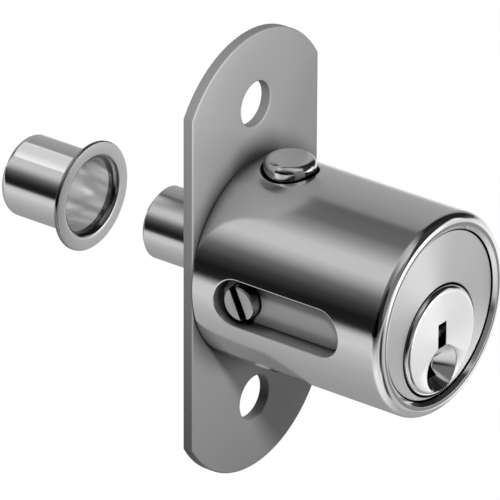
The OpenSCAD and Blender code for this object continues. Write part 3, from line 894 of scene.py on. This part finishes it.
# The yoke that holds the stud, the tumbler pins in the plug and the plunger, and the plugs that
# close the pins' chambers are brass.
brass = satin_finish("turned_brass", (0.78, 0.6, 0.3), roughness=0.3, stretch=(2500, 2500, 2500),
                     bump=0.15)
brass_nodes = ["chamber_plugs", "stud_yoke"]
brass_nodes += [f"{kind}_pin_{i}" for kind in ("key", "driver") for i in range(1, 6)]
for name in brass_nodes:
    paint(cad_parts[name], brass)


# The springs are wound from drawn steel wire, with closed ends that bear flat. The return spring
# goes round the bolt, one stands under the yoke, and each driver pin has one above it.
def coil_tree():
    """Winds a spring along Z from the origin. Its coil radius goes to the middle of the wire, and its
    first and last turns rise by one wire's thickness."""
    made = bpy.data.node_groups.new("coil_spring", "GeometryNodeTree")
    face = made.interface
    face.new_socket("Geometry", in_out="INPUT", socket_type="NodeSocketGeometry")
    for name in ("Coil radius", "Wire radius", "Length", "Turns"):
        face.new_socket(name, in_out="INPUT", socket_type="NodeSocketFloat")
    face.new_socket("Steps", in_out="INPUT", socket_type="NodeSocketInt")
    face.new_socket("Wire", in_out="INPUT", socket_type="NodeSocketMaterial")
    face.new_socket("Geometry", in_out="OUTPUT", socket_type="NodeSocketGeometry")
    given = add_node(made, "NodeGroupInput").outputs
    line = add_node(made, "GeometryNodeMeshLine", {"Count": given["Steps"]}, mode="OFFSET")
    wire = add_node(made, "GeometryNodeMeshToCurve", {"Mesh": line.outputs[0]})
    index = add_node(made, "GeometryNodeInputIndex").outputs[0]
    last = maths(made, "SUBTRACT", given["Steps"], 1.0)
    share = maths(made, "DIVIDE", index, last)
    angle = maths(made, "MULTIPLY", maths(made, "MULTIPLY", share, given["Turns"]), 2 * math.pi)
    closed = maths(made, "DIVIDE", 1.0, given["Turns"])
    open_end = maths(made, "SUBTRACT", 1.0, closed)
    rise = add_node(made, "ShaderNodeMapRange", {0: share, 1: closed, 2: open_end}).outputs[0]
    thick = maths(made, "MULTIPLY", given["Wire radius"], 2.0)
    start = add_node(made, "ShaderNodeMapRange", {0: share, 1: 0.0, 2: closed}).outputs[0]
    finish = add_node(made, "ShaderNodeMapRange", {0: share, 1: open_end, 2: 1.0}).outputs[0]
    ends = maths(made, "MULTIPLY", maths(made, "ADD", start, finish), thick)
    middle = maths(made, "SUBTRACT", given["Length"], maths(made, "MULTIPLY", thick, 3.0))
    up = maths(made, "ADD", maths(made, "MULTIPLY_ADD", rise, middle, ends), given["Wire radius"])
    spot = add_node(made, "ShaderNodeCombineXYZ", {
        0: maths(made, "MULTIPLY", maths(made, "COSINE", angle), given["Coil radius"]),
        1: maths(made, "MULTIPLY", maths(made, "SINE", angle), given["Coil radius"]), 2: up})
    bent = add_node(made, "GeometryNodeSetPosition", {"Geometry": wire.outputs[0],
                                                      "Position": spot.outputs[0]})
    ring = add_node(made, "GeometryNodeCurvePrimitiveCircle", {"Resolution": 12,
                                                               "Radius": given["Wire radius"]})
    tube = add_node(made, "GeometryNodeCurveToMesh", {"Curve": bent.outputs[0],
                                                      "Profile Curve": ring.outputs[0],
                                                      "Fill Caps": True})
    real = add_node(made, "GeometryNodeRealizeInstances", {0: tube.outputs[0]})
    painted = add_node(made, "GeometryNodeSetMaterial", {"Geometry": real.outputs[0],
                                                         "Material": given["Wire"]})
    add_node(made, "NodeGroupOutput", {0: painted.outputs[0]})
    return made


spring_tree = coil_tree()
wire_steel = satin_finish("drawn_wire", (0.42, 0.42, 0.44), roughness=0.3,
                          stretch=(2000, 2000, 2000), bump=0.2)


def wound_spring(name, outer_r, wire_r, length, turns, steps_per_turn, place):
    spring = object_of(name, bpy.data.meshes.new(name))
    wind = spring.modifiers.new("wind", "NODES")
    wind.node_group = spring_tree
    values = {"Coil radius": (outer_r - wire_r) * MM, "Wire radius": wire_r * MM,
              "Length": length * MM, "Turns": float(turns), "Steps": turns * steps_per_turn + 1,
              "Wire": wire_steel}
    for item in spring_tree.interface.items_tree:
        if item.in_out == "INPUT" and item.name in values:
            wind[item.identifier] = values[item.name]
    settle(spring)
    spring.data.transform(place)
    face_out(spring.data)
    spring.data.shade_smooth()
    spring.data.set_sharp_from_angle(angle=math.radians(40))
    return spring


def stretch_spring(spring, node):
    """Paints a spring, hides the part file's spring and fixes its place in the mesh."""
    paint(spring, wire_steel)
    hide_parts(node)
    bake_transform(spring)


return_l = 4.4
return_seat_y = bore_back
return_end_y = return_seat_y - return_l
along_y = Matrix.Translation((0, return_end_y * MM, 0)) @ Matrix.Rotation(-math.pi / 2, 4, "X")
return_spring = wound_spring("return_coil", outer_r=6.2, wire_r=0.36, length=return_l, turns=5,
                             steps_per_turn=48, place=along_y)
stretch_spring(return_spring, "return_spring")

yoke_mid = -13.9
stud_spring_l = 6.28
stud_spring_z = -10.01
stud_spring = wound_spring("stud_coil", outer_r=1.05, wire_r=0.13, length=stud_spring_l, turns=6,
                           steps_per_turn=32,
                           place=Matrix.Translation((0, yoke_mid * MM, stud_spring_z * MM)))
stretch_spring(stud_spring, "stud_spring")

driver_top = 6.25
for i, y in enumerate(pin_ys, 1):
    pin_spring = wound_spring(f"pin_coil_{i}", outer_r=0.92, wire_r=0.11,
                              length=chamber_top_z - driver_top, turns=8, steps_per_turn=20,
                              place=Matrix.Translation((0, y * MM, driver_top * MM)))
    stretch_spring(pin_spring, f"pin_spring_{i}")
